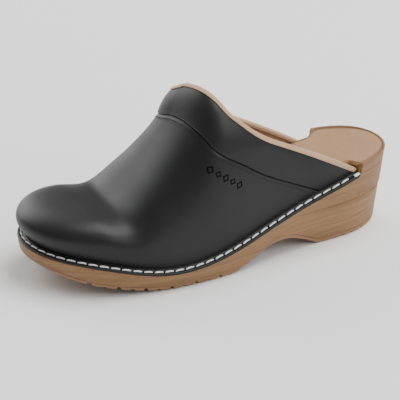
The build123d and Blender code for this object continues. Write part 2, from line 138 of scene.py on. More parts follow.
def spline_at(points, x, **ends):
    """Value at x of the smooth curve through (x, value) points, held beyond its ends."""
    t = np.array([p[0] for p in points], float)
    v = np.array([p[1] for p in points], float)
    x = np.clip(np.asarray(x, float), t[0], t[-1])
    m = bends(t, v, **ends)
    i = np.clip(np.searchsorted(t, x) - 1, 0, len(t) - 2)
    h = t[i + 1] - t[i]
    a = (t[i + 1] - x) / h
    b = 1 - a
    return a * v[i] + b * v[i + 1] + ((a ** 3 - a) * m[i] + (b ** 3 - b) * m[i + 1]) * h * h / 6


def between(points, x):
    return np.interp(x, [p[0] for p in points], [p[1] for p in points])


def smooth(low, high, x):
    t = np.clip((np.asarray(x, float) - low) / (high - low), 0, 1)
    return t * t * (3 - 2 * t)


def unit(v):
    return v / np.maximum(np.linalg.norm(v, axis=-1, keepdims=True), 1e-12)


def ledge_height(x):
    return spline_at(LEDGE, x)


def underside_height(x):
    x = np.asarray(x, float)
    front = spline_at(UNDERSIDE, np.minimum(x, UNDERSIDE[-1][0]))
    arch = spline_at(ARCH, np.clip(x, ARCH[0][0], ARCH[-1][0]))
    return np.maximum(np.where(x < UNDERSIDE[-1][0], front, arch), 0)


def rim_plan(count, inset=0.0):
    """Points of the sole's plan, evenly spaced from the toe tip; inset may vary along it."""
    p = np.array(OUTER_SIDE + INNER_SIDE + OUTER_SIDE[:1], float) - (0, MIDDLE_Y)
    t = np.r_[0, np.cumsum(np.sqrt(np.linalg.norm(np.diff(p, axis=0), axis=1)))]
    s = np.linspace(0, t[-1], 4001)
    q = np.c_[spline_at(list(zip(t, p[:, 0])), s, periodic=True),
              spline_at(list(zip(t, p[:, 1])), s, periodic=True)]
    run = np.r_[0, np.cumsum(np.linalg.norm(np.diff(q, axis=0), axis=1))]
    u = np.linspace(0, run[-1], count, endpoint=False)
    o = np.c_[np.interp(u, run, q[:, 0]), np.interp(u, run, q[:, 1])]
    along = unit(np.roll(o, -1, 0) - np.roll(o, 1, 0))
    outward = np.c_[along[:, 1], -along[:, 0]]
    if ((o - o.mean(0)) * outward).sum() < 0:
        outward = -outward
    return o - outward * np.reshape(inset, (-1, 1))


# ---- meshes --------------------------------------------------------------------------------------
def make_object(name, points, faces, material, node):
    """A mesh piece from points in millimetres, standing for one CAD node."""
    mesh = bpy.data.meshes.new(name)
    mesh.from_pydata((np.asarray(points, float) * MM).tolist(), [], [tuple(map(int, f)) for f in faces])
    mesh.validate()
    mesh.polygons.foreach_set("use_smooth", [True] * len(mesh.polygons))
    mesh.materials.append(material)
    mesh.update()
    piece = bpy.data.objects.new(name, mesh)
    bpy.context.scene.collection.objects.link(piece)
    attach(piece, "root")
    if node:
        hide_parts(node)
    return piece


def grid_quads(rows, columns, closed=False):
    corner = np.arange(rows * columns).reshape(rows, columns)
    last = columns if closed else columns - 1
    return [(corner[i, j], corner[i + 1, j], corner[i + 1, (j + 1) % columns], corner[i, (j + 1) % columns])
            for i in range(rows - 1) for j in range(last)]


def close_skins(outside, inside, quads):
    """Faces of a closed sheet between two skins of matching points."""
    used = set()
    for quad in quads:
        used.update(zip(quad, quad[1:] + quad[:1]))
    count = len(outside)
    faces = list(quads) + [(count + a, count + d, count + c, count + b) for a, b, c, d in quads]
    faces += [(b, a, count + a, count + b) for a, b in used if (b, a) not in used]
    return np.concatenate([outside, inside]), faces


def cap(ring_start, count, points, height, steps, flip):
    """Fill a ring that starts at the toe with rows across it; height gives z from plan and share."""
    ring = points[ring_start:ring_start + count]
    half = count // 2
    rows = []
    extra = []
    start = len(points)
    for i in range(1, half):
        a = ring[i]
        b = ring[count - i]
        share = np.linspace(0, 1, steps + 2)[1:-1, None]
        spot = a + (b - a) * share
        spot[:, 2] = height(spot[:, 0], spot[:, 1], share[:, 0])
        rows.append([ring_start + i] + list(range(start, start + steps)) + [ring_start + count - i])
        extra.append(spot)
        start += steps
    faces = []
    for one, two in zip(rows, rows[1:]):
        faces += [(one[k], two[k], two[k + 1], one[k + 1]) for k in range(steps + 1)]
    toe = ring_start
    heel = ring_start + half
    faces += [(toe, rows[0][k], rows[0][k + 1]) for k in range(steps + 1)]
    faces += [(heel, rows[-1][k + 1], rows[-1][k]) for k in range(steps + 1)]
    if flip:
        faces = [tuple(reversed(face)) for face in faces]
    return np.concatenate([points] + extra), faces


# ---- materials -------------------------------------------------------------------------------------
class Nodes:
    """Short names for building a material's node tree."""

    def __init__(self, name):
        self.material = bpy.data.materials.new(name)
        self.material.use_nodes = True
        self.tree = self.material.node_tree
        self.shader = self.tree.nodes["Principled BSDF"]
        coordinates = self.tree.nodes.new("ShaderNodeTexCoord")
        self.place = coordinates.outputs["Object"]

    def add(self, kind, values=None, **links):
        node = self.tree.nodes.new(kind)
        for key, value in (values or {}).items():
            if key in node.inputs:
                node.inputs[key].default_value = value
            else:
                setattr(node, key, value)
        for key, link in links.items():
            self.tree.links.new(link, node.inputs[key.replace("_", " ")])
        return node

    def stretched(self, scale):
        return self.add("ShaderNodeMapping", {"Scale": scale}, Vector=self.place).outputs[0]

    def noise(self, scale, stretch=(1, 1, 1), detail=4.0, roughness=0.5):
        values = {"Scale": scale, "Detail": detail, "Roughness": roughness}
        return self.add("ShaderNodeTexNoise", values, Vector=self.stretched(stretch)).outputs["Fac"]

    def cells(self, scale):
        return self.add("ShaderNodeTexVoronoi", {"Scale": scale}, Vector=self.place).outputs["Distance"]

    def ramp(self, value, stops):
        node = self.add("ShaderNodeValToRGB", Fac=value)
        ramp = node.color_ramp
        while len(ramp.elements) < len(stops):
            ramp.elements.new(0.5)
        for element, (place, color) in zip(ramp.elements, stops):
            element.position = place
            element.color = (*color, 1)
        return node.outputs["Color"]

    def multiply(self, share, color, shade):
        """Color times shade, mixed in by share."""
        node = self.tree.nodes.new("ShaderNodeMix")
        node.data_type = "RGBA"
        node.blend_type = "MULTIPLY"
        node.inputs[0].default_value = share
        self.tree.links.new(color, node.inputs[6])
        self.tree.links.new(shade, node.inputs[7])
        return node.outputs[2]

    def span(self, value, low, high):
        return self.add("ShaderNodeMapRange", {"To Min": low, "To Max": high}, Value=value).outputs[0]

    def bump(self, value, distance, strength, under=None):
        node = self.add("ShaderNodeBump", {"Distance": distance, "Strength": strength}, Height=value)
        if under is not None:
            self.tree.links.new(under, node.inputs["Normal"])
        return node.outputs["Normal"]

    def finish(self, color, roughness, normal, **fixed):
        for socket, value in (("Base Color", color), ("Roughness", roughness), ("Normal", normal)):
            if value is not None:
                self.tree.links.new(value, self.shader.inputs[socket])
        for socket, value in fixed.items():
            self.shader.inputs[socket.replace("_", " ")].default_value = value
        return self.material


def black_leather():
    n = Nodes("black_leather")
    broad = n.noise(18, detail=3)
    color = n.ramp(broad, [(0.3, (0.008, 0.008, 0.0085)), (0.7, (0.012, 0.012, 0.0125))])
    roughness = n.span(n.noise(60, detail=5), 0.38, 0.46)
    grain = n.bump(n.cells(1500), 0.00006, 0.35)
    pores = n.bump(n.noise(420, detail=6), 0.00010, 0.25, grain)
    return n.finish(color, roughness, pores, Specular_IOR_Level=0.3)


def pressed_leather_painted_shade():
    n = Nodes("pressed_leather_painted_shade")
    # Pressed mark: the matte finish is the pressed leather's own; the extra darkness is painted shade
    # standing in for the pressed grooves.
    color = n.ramp(n.noise(300, detail=3), [(0.3, (0.001, 0.001, 0.001)), (0.7, (0.002, 0.002, 0.002))])
    return n.finish(color, None, n.bump(n.cells(1500), 0.00005, 0.4), Roughness=0.85, Specular_IOR_Level=0.1)


def tan_leather(name, light, dark):
    n = Nodes(name)
    broad = n.noise(26, detail=5, roughness=0.6)
    color = n.ramp(broad, [(0.3, dark), (0.7, light)])
    speckle = n.ramp(n.noise(700, detail=4), [(0.35, (0.86, 0.86, 0.86)), (0.65, (1.05, 1.05, 1.05))])
    color = n.multiply(0.5, color, speckle)
    roughness = n.span(n.noise(90), 0.55, 0.7)
    grain = n.bump(n.cells(1300), 0.00008, 0.4)
    return n.finish(color, roughness, grain, Specular_IOR_Level=0.35)


def wood(name, tones, grain=1.0):
    n = Nodes(name)
    warp = n.noise(14, detail=3)
    bands = n.noise(9, (1.2, 6, 46), detail=9, roughness=0.68)
    streaks = n.noise(22, (1.0, 9, 60), detail=6, roughness=0.75)
    color = n.ramp(bands, [(0.25, tones[0]), (0.5, tones[1]), (0.75, tones[2])])
    lines = n.ramp(streaks, [(0.36, (0.70, 0.66, 0.62)), (0.5, (1, 1, 1)), (0.8, (1.06, 1.05, 1.04))])
    color = n.multiply(0.75 * grain, color, lines)
    patches = n.ramp(warp, [(0.3, (0.93, 0.92, 0.9)), (0.7, (1.05, 1.04, 1.03))])
    color = n.multiply(0.6, color, patches)
    roughness = n.span(streaks, 0.62, 0.46)
    normal = n.bump(streaks, 0.00025, 0.4 * grain)
    return n.finish(color, roughness, normal, Specular_IOR_Level=0.4)


def thread(name, light, dark, sheen):
    n = Nodes(name)
    twist = n.add("ShaderNodeTexWave", {"Scale": 1100.0, "Distortion": 1.5, "wave_type": "BANDS",
                                        "bands_direction": "DIAGONAL"}, Vector=n.place).outputs["Fac"]
    color = n.ramp(twist, [(0.1, dark), (0.6, light)])
    return n.finish(color, None, n.bump(twist, 0.0001, 0.6), Roughness=0.8, Sheen_Weight=sheen)


def foam(name, tone):
    n = Nodes(name)
    cells = n.cells(900)
    color = n.ramp(cells, [(0.1, tuple(0.8 * c for c in tone)), (0.6, tone)])
    return n.finish(color, None, n.bump(cells, 0.0002, 0.5), Roughness=0.9)


LEATHER_BLACK = black_leather()
TAN = tan_leather("tan_insole_leather", (0.385, 0.222, 0.118), (0.335, 0.19, 0.10))
TAN_LINING = tan_leather("tan_lining_leather", (0.36, 0.225, 0.135), (0.30, 0.185, 0.11))
BINDING = tan_leather("binding_leather", (0.50, 0.325, 0.20), (0.44, 0.28, 0.165))
WOOD = wood("sole_wood", ((0.155, 0.080, 0.031), (0.25, 0.134, 0.056), (0.325, 0.182, 0.08)))
TREAD = wood("tread_rubber", ((0.205, 0.105, 0.048), (0.27, 0.147, 0.07), (0.33, 0.185, 0.095)), 0.6)
WHITE_THREAD = thread("white_thread", (0.97, 0.97, 0.95), (0.80, 0.80, 0.77), 0.2)
# near-black matte for the pressed lozenges: painted shade for their pressed grooves
PRESSED_PAINTED_SHADE = pressed_leather_painted_shade()
BLACK_THREAD = thread("black_thread", (0.004, 0.004, 0.004), (0.002, 0.002, 0.002), 0.0)
FOAM = foam("backing_foam", (0.72, 0.66, 0.52))


# ---- sole --------------------------------------------------------------------------------------
def draft(x, z):
    """How far the side wall stands in from the rim at height z."""
    top = ledge_height(x) + (SEAT[-1][1] - ledge_height(x)) * smooth(80, 112, x)
    blend = np.clip((x - 10) / 60, 0, 1)
    reach = DRAFT_FRONT * (1 - blend) + DRAFT_HEEL * blend
    return reach * (top - z) / top


SIDE_ROWS = 72
RING = 720


def heel_moulding(x, z):
    """How far the moulded lines round the heel stand in from the side wall."""
    fade = smooth(38, 82, x)
    groove = GROOVE_DEPTH * np.exp(-((z - GROOVE_Z) / 0.9) ** 2)
    lip = LIP_DEPTH * np.exp(-((z - GROOVE_Z - LIP_RISE) / 0.7) ** 2)
    return fade * (groove + lip) - 0.5 * fade * smooth(GROOVE_Z, GROOVE_Z + 1.5, z)


def side_rings():
    """Rings of the wooden side wall, from its underside up to its top edge."""
    plan = rim_plan(RING)
    x = plan[:, 0]
    low = underside_height(x) + OUTSOLE_THICK + GAP / 2
    high = rim_top(plan)
    rings = []
    for share in np.linspace(0, 1, SIDE_ROWS):
        z = low + (high - low) * share
        rings.append(np.c_[rim_plan(RING, draft(x, z) + heel_moulding(x, z)), z])
    return rings


def rim_step(plan):
    """0 beside the ledge that carries the upper, 1 beside the bare seat behind it."""
    end = np.where(plan[:, 1] > 0, INNER_LEDGE_END, OUTER_LEDGE_END)
    return smooth(end - 0.6, end + 0.8, plan[:, 0])


def rim_top(plan):
    """Top of the wooden side wall: the ledge under the upper, and the seat's rim behind it."""
    x = plan[:, 0]
    step = rim_step(plan)
    return ledge_height(x) * (1 - step) + (spline_at(SEAT, x) + 0.4) * step


def insole_inset(plan):
    x = plan[:, 0]
    wide = LEDGE_WIDTH + 0.3
    narrow = HEEL_RIM + 0.3
    outer = between([(OUTER_LEDGE_END - 3, wide), (OUTER_LEDGE_END + 1.5, narrow)], x)
    inner = between([(INNER_LEDGE_END - 7, wide), (INNER_LEDGE_END + 4, narrow)], x)
    return np.where(plan[:, 1] > 0, inner, outer)


def dish(x, share):
    """How far the foot has pressed the footbed down between its edges."""
    depth = 1.2 + 2.6 * smooth(40, 100, x)
    ends = smooth(TOE_X, TOE_X + 25, x) * smooth(HEEL_X, HEEL_X - 22, x)
    return depth * (1 - (2 * share - 1) ** 2) * ends


def cap_deck(ring_start, points, drop, steps, flip):
    """Fill a ring at a height under the dished seat."""
    return cap(ring_start, RING, points, lambda x, y, s: spline_at(SEAT, x) - drop - dish(x, s), steps, flip)


def build_wood_sole():
    rings = side_rings()
    plan = rim_plan(RING)
    top = rim_top(plan)
    high = rim_step(plan)
    rings[-1][:, 2] -= 0.5      # the wall's top edge is rounded over
    rings[-2][:, 2] = np.minimum(rings[-2][:, 2], rings[-1][:, 2] - 0.2)
    for inset, drop in ((0.18, 0.15), (0.6, 0)):
        rings.append(np.c_[rim_plan(RING, inset - 0.5 * high), top - drop])
    edge = insole_inset(plan) - 0.35
    rings.append(np.c_[rim_plan(RING, edge - 0.5 * high), top - 0.1])
    rings.append(np.c_[rim_plan(RING, edge), top - 0.5])
    deck = COVER_THICK + CUSHION_THICK + GAP + 0.5
    rings.append(np.c_[rim_plan(RING, edge + 0.02), spline_at(SEAT, plan[:, 0]) - deck])
    points = np.concatenate(rings)
    faces = grid_quads(len(rings), RING, closed=True)
    points, top_faces = cap_deck((len(rings) - 1) * RING, points, deck, 12, False)
    points, low_faces = cap(0, RING, points,
                            lambda x, y, s: underside_height(x) + OUTSOLE_THICK + GAP / 2, 4, True)
    make_object("wood_sole_body", points, faces + top_faces + low_faces, WOOD, "wood_sole")


def lug_lift(x):
    """Height of the cross grooves in the tread above its underside."""
    lift = np.zeros(np.shape(x))
    places = [(FRONT_LUG_X + LUG_PITCH * i, LUG_DEPTHS[i % 2]) for i in range(FRONT_LUGS)]
    places += [(HEEL_LUG_X + LUG_PITCH * i, HEEL_LUG_DEPTH) for i in range(HEEL_LUGS)]
    for place, depth in places:
        lift = np.maximum(lift, depth * smooth(1.9, 0.7, np.abs(x - place)))
    return lift


# The tread's rounded side: share of the way up, and how far it stands in from the drafted wall.
TREAD_EDGE = [(0, 1.9), (0.04, 1.2), (0.16, 0.6), (0.4, 0.25), (0.8, 0.25), (0.93, 0.4), (1, 0.9)]
TREAD_RING = 2 * RING


def build_outsole():
    def bottom(x):
        return underside_height(x) + lug_lift(x)

    def top(x):
        return underside_height(x) + OUTSOLE_THICK - GAP / 2

    x = rim_plan(TREAD_RING)[:, 0]
    rings = []
    for share, extra in TREAD_EDGE:
        z = bottom(x) + (top(x) - bottom(x)) * share
        rings.append(np.c_[rim_plan(TREAD_RING, draft(x, z) + extra), z])
    points = np.concatenate(rings)
    faces = grid_quads(len(rings), TREAD_RING, closed=True)
    top_ring = (len(rings) - 1) * TREAD_RING
    points, top_faces = cap(top_ring, TREAD_RING, points, lambda x, y, s: top(x), 3, False)
    points, low_faces = cap(0, TREAD_RING, points, lambda x, y, s: bottom(x), 5, True)
    make_object("treaded_outsole", points, faces + top_faces + low_faces, TREAD, "outsole")


def build_footbed_layer(name, node, material, edge, top_drop, thick):
    """A layer of the footbed; edge lists (inset, height under the seat) from its lower rim up."""
    plan = rim_plan(RING)
    x = plan[:, 0]
    rings = [np.c_[rim_plan(RING, insole_inset(plan) + inset), spline_at(SEAT, x) - drop]
             for inset, drop in edge]
    points = np.concatenate(rings)
    faces = grid_quads(len(rings), RING, closed=True)
    points, top_faces = cap_deck((len(rings) - 1) * RING, points, top_drop, 16, False)
    points, low_faces = cap_deck(0, points, top_drop + thick, 16, True)
    return make_object(name, points, faces + top_faces + low_faces, material, node)


def build_footbed():
    low = COVER_THICK + CUSHION_THICK - 0.05
    cushion = build_footbed_layer("footbed_foam", "footbed_cushion", FOAM,
                                  [(1.0, low), (0.95, low - 0.5), (0.95, COVER_THICK + GAP)],
                                  COVER_THICK + GAP, CUSHION_THICK - GAP - 0.05)
    build_footbed_layer("insole_top", "insole_cover", TAN,
                        [(0.9, COVER_THICK), (0.88, low), (0.08, low), (0, low - 0.3), (0, 0.5), (0.12, 0.15),
                         (0.5, 0)], 0, COVER_THICK)


# ---- the upper's reference surface ----------------------------------------------------------
class UpperForm:
    """Outer face of the vamp, carried on as a closed arch to the heel: along < 0 is the toe dome,
    0 to 1 a row of arches; across runs from the outer foot line (-1) over the ridge to the inner."""

    def __init__(self):
        foot = rim_plan(1600, WALL_INSET)
        foot = np.roll(foot, -int(np.argmin(foot[:, 0])), 0)
        heel = int(np.argmax(foot[:, 0]))
        first = foot[:heel + 1]
        second = np.r_[foot[:1], foot[heel:][::-1]]
        self.outer, self.inner = sorted((first, second), key=lambda side: side[:, 1].mean())

    def foot(self, side, along):
        line = self.outer if side < 0 else self.inner
        turn = int(np.argmax(line[:, 0] >= DOME_X))
        run = np.r_[0, np.cumsum(np.linalg.norm(np.diff(line[:turn + 1], axis=0), axis=1))]
        s = np.clip(1 + along, 0, 1) * run[-1]
        toe = np.c_[np.interp(s, run, line[:turn + 1, 0]), np.interp(s, run, line[:turn + 1, 1])]
        x = DOME_X + np.clip(along, 0, None) * (RIDGE_END_X - DOME_X)
        last = int(np.argmax(line[:, 0] >= RIDGE_END_X)) + 1
        back = np.c_[x, np.interp(x, line[turn:last, 0], line[turn:last, 1])]
        return np.where((along > 0)[:, None], back, toe)

    def points(self, along, across):
        shape = np.shape(along)
        u = np.ravel(along)
        v = np.ravel(across)
        front = u < 0
        radius = np.clip(np.where(front, np.hypot(u, v), np.abs(v)), 0, 1)
        turn = np.where(front, np.arctan2(np.abs(v), -u) / (math.pi / 2), 0)
        place = np.where(front, turn - 1, u)
        foot = np.where((v < 0)[:, None], self.foot(-1, place), self.foot(1, place))
        x = np.where(front, DOME_X, DOME_X + u * (RIDGE_END_X - DOME_X))
        ridge = np.c_[x, between(RIDGE_OFFSET, x) - MIDDLE_Y]
        top = spline_at(RIDGE, x, flat_start=True)
        low = ledge_height(foot[:, 0]) + WALL_FOOT
        power = between(FULLNESS, x)
        bulge = np.where(front, BULGE_TIP + (BULGE[0][1] - BULGE_TIP) * turn ** 2, between(BULGE, x))
        angle = (1 - radius) * math.pi / 2
        c = np.cos(angle)
        s = np.sin(angle)
        size = (c ** power + s ** power) ** (-1 / power)
        reach = foot - ridge
        length = np.linalg.norm(reach, axis=1)
        out = length * c * size + bulge * np.sin(2 * angle) * c
        plan = ridge + reach / length[:, None] * out[:, None]
        return np.c_[plan, low + (top - low) * s * size].reshape(shape + (3,))

    def normals(self, along, across):
        step = 2e-3
        radius = np.where(along < 0, np.hypot(along, across), np.abs(across))
        shrink = np.minimum(1, (1 - 1.5 * step) / np.maximum(radius, 1e-9))
        u = np.where(along < 0, along * shrink, along)
        v = across * shrink
        du = self.points(u + step, v) - self.points(u - step, v)
        dv = self.points(u, v + step) - self.points(u, v - step)
        return unit(np.cross(du, dv))

    def offset(self, along, across, distance):
        shift = self.normals(along, across) * np.reshape(distance, np.shape(distance) + (1,))
        return self.points(along, across) + shift

    def crossing(self, line, across, skew=SEAM_SKEW):
        """How far along the arches a side-view line crosses each row of constant across."""
        heights = sorted((z, x) for x, z in line)
        forward = skew * smooth(-0.3, 0.3, across)
        low = np.zeros(np.shape(across))
        high = np.ones(np.shape(across))
        for _ in range(30):
            mid = (low + high) / 2
            p = self.points(mid, across)
            past = p[..., 0] > spline_at(heights, p[..., 2]) - forward
            high = np.where(past, mid, high)
            low = np.where(past, low, mid)
        return mid


FORM = UpperForm()
SPREAD = 0.92


def across_places(count):
    """Places across the form, closer together towards its two feet."""
    return np.sin(np.linspace(-1, 1, count) * math.pi / 2 * SPREAD) / math.sin(math.pi / 2 * SPREAD)


ACROSS = across_places(141)
VAMP_ROWS = 112


def vamp_grid(first=-1.0, last=1.0):
    """Rows from the toe's foot line (-1) through the dome to the seam (1), and each point's
    distance in front of the seam."""
    t = np.linspace(-1, 1, VAMP_ROWS)
    t = np.where(t > 0, 1 - (1 - np.clip(t, 0, 1)) ** 1.5, t)
    t = t[(t >= first) & (t <= last)]
    u, v = np.meshgrid(t, ACROSS, indexing="ij")
    dome = np.minimum(u, 0)
    seam = FORM.crossing(SEAM, v)
    along = np.where(u < 0, u * np.sqrt(1 - v ** 2 / 2), u * seam)
    to_seam = np.where(u < 0, 99, (1 - u) * seam * (RIDGE_END_X - DOME_X))
    return along, v * np.sqrt(1 - dome ** 2 / 2), to_seam


def collar_grid(start, end, rows):
    """Rows between the seam (0) and the top edge (1), and how far up each one is."""
    u, v = np.meshgrid(np.linspace(start, end, rows), ACROSS, indexing="ij")
    seam = FORM.crossing(SEAM, v)
    top = FORM.crossing(TOPLINE, v, TOPLINE_SKEW)
    return seam + u * (top - seam), v, u


def pad(u, v):
    """How far the padding lifts the collar, from its seam (0) to its top edge (1)."""
    plump = np.sin(math.pi * np.clip(u, 0, 1)) ** 0.6
    return PAD_HEIGHT * plump * (1 - np.abs(v) ** 8)


def walled_sheet(along, across, outside, inside, paths, skirt):
    """A sheet whose foot, along paths through its grid, is carried on by rows of
    (reach, lift) for its outer skin and for its inner one."""
    rows, columns = along.shape
    skins = [FORM.offset(along, across, d + 0 * along).reshape(-1, 3) for d in (outside, inside)]
    quads = grid_quads(rows, columns)
    places = FORM.points(along, across).reshape(-1, 3)
    for path in paths:
        ids = [i * columns + j for i, j in path]
        plan = places[ids][:, :2]
        run = unit(np.gradient(plan, axis=0))
        outward = np.c_[-run[:, 1], run[:, 0]]
        for row in skirt:
            start = len(skins[0])
            added = []
            for reach, lift in row:
                spot = plan + outward * reach
                added.append(np.c_[spot, ledge_height(spot[:, 0]) + lift])
            skins = [np.concatenate([skin, new]) for skin, new in zip(skins, added)]
            new_ids = list(range(start, start + len(ids)))
            quads += [(a, b, d, c) for a, b, c, d in zip(ids, ids[1:], new_ids, new_ids[1:])]
            ids = new_ids
    return close_skins(skins[0], skins[1], quads)


FLANGE_SKIRT = [((0.05, 2.9), (-1.55, 2.6)), ((0.35, 2.25), (-1.5, 1.9)), ((0.9, 1.82), (-1.4, 1.2)),
                ((1.5, 1.68), (-1.3, 0.5)), ((2.0, 1.5), (-0.6, 0.08)), ((2.4, 1.45), (0.4, 0.06)),
                ((2.8, 1.5), (1.4, 0.06)), ((3.3, 1.65), (2.4, 0.06)), ((4.1, 1.62), (3.4, 0.06)),
                ((4.5, 1.5), (4.1, 0.06)), ((4.68, 1.2), (4.3, 0.06)), ((4.7, 0.6), (4.45, 0.06)),
                ((4.66, 0.2), (4.55, 0.06))]


def drop_skirt(outside, inside):
    return [((outside, 2.6), (inside, 2.6)), ((outside, 1.75), (inside, 1.75))]


def vamp_paths(along):
    rows, columns = along.shape
    foot = [(i, 0) for i in range(rows - 1, 0, -1)]
    foot += [(0, j) for j in range(columns)]
    foot += [(i, columns - 1) for i in range(1, rows)]
    return [foot]


def collar_paths(along):
    rows, columns = along.shape
    return [[(i, 0) for i in range(rows - 1, -1, -1)], [(i, columns - 1) for i in range(rows)]]


def build_vamp():
    along, across, to_seam = vamp_grid()
    tucked_edge = 0.35 * smooth(1.6, 0, to_seam)
    stitch_furrow = 0.12 * np.exp(-((to_seam - 2.6) / 0.6) ** 2)
    dip = -tucked_edge - stitch_furrow
    points, faces = walled_sheet(along, across, dip, -LEATHER, vamp_paths(along), FLANGE_SKIRT)
    make_object("vamp_leather", points, faces, LEATHER_BLACK, "vamp")


def build_collar():
    along, across, u = collar_grid(0, 1, 41)
    lift = pad(u, across) - 1.2 * smooth(0.03, 0, u)
    points, faces = walled_sheet(along, across, lift, lift - LEATHER, collar_paths(along), FLANGE_SKIRT)
    piece = make_object("padded_collar", points, faces, LEATHER_BLACK, "collar")


def plain_sheet(along, across, outside, inside):
    """A closed sheet between two distances from the reference surface."""
    skins = [FORM.offset(along, across, d + 0 * along).reshape(-1, 3) for d in (outside, inside)]
    return close_skins(skins[0], skins[1], grid_quads(*along.shape))


def build_backing(name, node, first, last):
    along, across, _ = vamp_grid(first, last)
    outside = -LEATHER - GAP
    points, faces = plain_sheet(along, across, outside, outside - BACKING)
    make_object(name, points, faces, FOAM, node)


def build_vamp_lining():
    along, across, _ = vamp_grid()
    outside = -LEATHER - BACKING - 2 * GAP
    inside = outside - LINING
    points, faces = walled_sheet(along, across, outside, inside, vamp_paths(along),
                                 drop_skirt(outside, inside))
    make_object("vamp_inner_lining", points, faces, TAN_LINING, "vamp_lining")


def build_collar_layers():
    core = -LEATHER - GAP
    outside = -LEATHER - BACKING - 2 * GAP
    along, across, u = collar_grid(0.06, 0.82, 21)
    points, faces = plain_sheet(along, across, core + pad(u, across), core - BACKING)
    padding = make_object("collar_foam", points, faces, FOAM, "collar_padding")
    along, across, _ = collar_grid(0.86, 0.97, 4)
    points, faces = plain_sheet(along, across, core, core - BACKING)
    make_object("edge_tape", points, faces, WHITE_THREAD, "topline_tape")
    along, across, _ = collar_grid(0.01, 1, 21)
    points, faces = walled_sheet(along, across, outside, outside - LINING, collar_paths(along),
                                 drop_skirt(outside, outside - LINING))
    make_object("collar_inner_lining", points, faces, TAN_LINING, "collar_lining")


def build_binding():
    """A strip folded over the collar's top edge, with a rounded fold."""
    v = across_places(241)
    seam = FORM.crossing(SEAM, v)
    top = FORM.crossing(TOPLINE, v, TOPLINE_SKEW)
    edge = FORM.points(top, v)
    step = 1e-3
    climb = (edge - FORM.points(top - step, v)) / step
    beyond = unit(np.cross(FORM.normals(top, v), np.gradient(edge, axis=0)))
    beyond *= np.sign((beyond * climb).sum(1))[:, None]
    leg = np.minimum(BINDING_LEG / (climb * beyond).sum(1), 0.8 * (top - seam))
    skin = LEATHER + BACKING + LINING + 3 * GAP
    half = skin / 2
    thick = BINDING_THICK
    # down the leg, on the outer face or not, lift over the edge, growth outwards and upwards
    outer_leg = ((1, 0.3), (0.97, 0.8), (0.85, 1), (0.6, 1), (0.3, 1), (0.1, 1))
    section = [(share, 1, 0, grown * thick, 0) for share, grown in outer_leg]
    fold = [(math.sin(a), math.cos(a)) for a in np.linspace(0, math.pi, 9)]
    section += [(0, 0.5 + 0.5 * out, GAP + 0.35 * half * up, thick * out, thick * (0.3 + 0.9 * up))
                for up, out in fold]
    inner_leg = ((0.1, 1), (0.5, 1), (0.9, 1), (1, 0.4))
    section += [(share, 0, 0, -grown * thick, 0) for share, grown in inner_leg]
    skins = []
    for grow in (1, 0):
        rows = []
        for share, outer, up, thick_out, thick_up in section:
            place = top - share * leg
            lift = pad(1 - share * leg / (top - seam), v)
            out = outer * (lift + GAP) - (1 - outer) * skin + grow * thick_out
            row = FORM.offset(place, v, out) + beyond * (up + grow * thick_up)
            floor = ledge_height(row[:, 0]) + 1.75 + GAP * (2 - grow)
            row[:, 2] = np.maximum(row[:, 2], floor)
            rows.append(row)
        skins.append(np.concatenate(rows))
    points, faces = close_skins(skins[0], skins[1], grid_quads(len(section), len(v)))
    make_object("tan_binding", points, faces, BINDING, "topline_binding")


# ---- thread ------------------------------------------------------------------------------------
def capsules(name, spans, radius, sag, material, node):
    """Short rounded lengths of thread; spans are (start, end, up) triples."""
    around = 10
    along = np.array([0, 0.04, 0.12, 0.3, 0.5, 0.7, 0.88, 0.96, 1])
    girth = np.array([0.05, 0.55, 0.9, 1, 1, 1, 0.9, 0.55, 0.05])
    points = []
    faces = []
    turn = np.linspace(0, 2 * math.pi, around, endpoint=False)
    for start, end, up in spans:
        start, end, up = (np.asarray(a, float) for a in (start, end, up))
        side = unit(np.cross(end - start, up))
        up = unit(np.cross(side, end - start))
        base = len(points) * len(along) * around
        rows = []
        for t, g in zip(along, girth):
            centre = start + (end - start) * t - up * sag * (2 * t - 1) ** 2
            ring = side * np.cos(turn)[:, None] + up * np.sin(turn)[:, None]
            rows.append(centre + ring * radius * g)
        points.append(np.concatenate(rows))
        faces += [tuple(base + k for k in face) for face in grid_quads(len(along), around, closed=True)]
        faces += [tuple(base + k for k in range(around))]
        faces += [tuple(base + (len(along) - 1) * around + k for k in reversed(range(around)))]
    make_object(name, np.concatenate(points), faces, material, node)


def edge_line(count, inset):
    """Evenly spaced places along the rim, from the outer rear corner round the toe."""
    dense = rim_plan(2400, inset)
    dense = np.roll(dense, -int(np.argmax(dense[:, 0])), 0)
    run = np.r_[0, np.cumsum(np.linalg.norm(np.diff(dense, axis=0), axis=1))]
    end = np.where(dense[:, 1] < 0, STITCH_END_X, STITCH_END_X - INNER_SHORTER)
    keep = run[dense[:, 0] < end]
    s = np.linspace(keep[0], keep[-1], count)
    return np.c_[np.interp(s, run, dense[:, 0]), np.interp(s, run, dense[:, 1])], keep[-1] - keep[0]


def on_flange(spot):
    return np.array([spot[0], spot[1], float(ledge_height(spot[0])) + FLANGE_TOP + STITCH_LIFT])


def build_welt_stitches():
    length = edge_line(2, STITCH_INSET)[1]
    places = edge_line(int(length / STITCH_PITCH), STITCH_INSET)[0]
    spans = []
    for before, here, after in zip(places, places[1:], places[2:]):
        run = unit(after - before)
        aside = np.array([-run[1], run[0]]) * STITCH_SLANT
        half = run * STITCH_LENGTH / 2
        spans.append((on_flange(here - half - aside), on_flange(here + half + aside), (0, 0, 1)))
    capsules("welt_thread", spans, STITCH_RADIUS, 0.35, WHITE_THREAD, "welt_stitches")


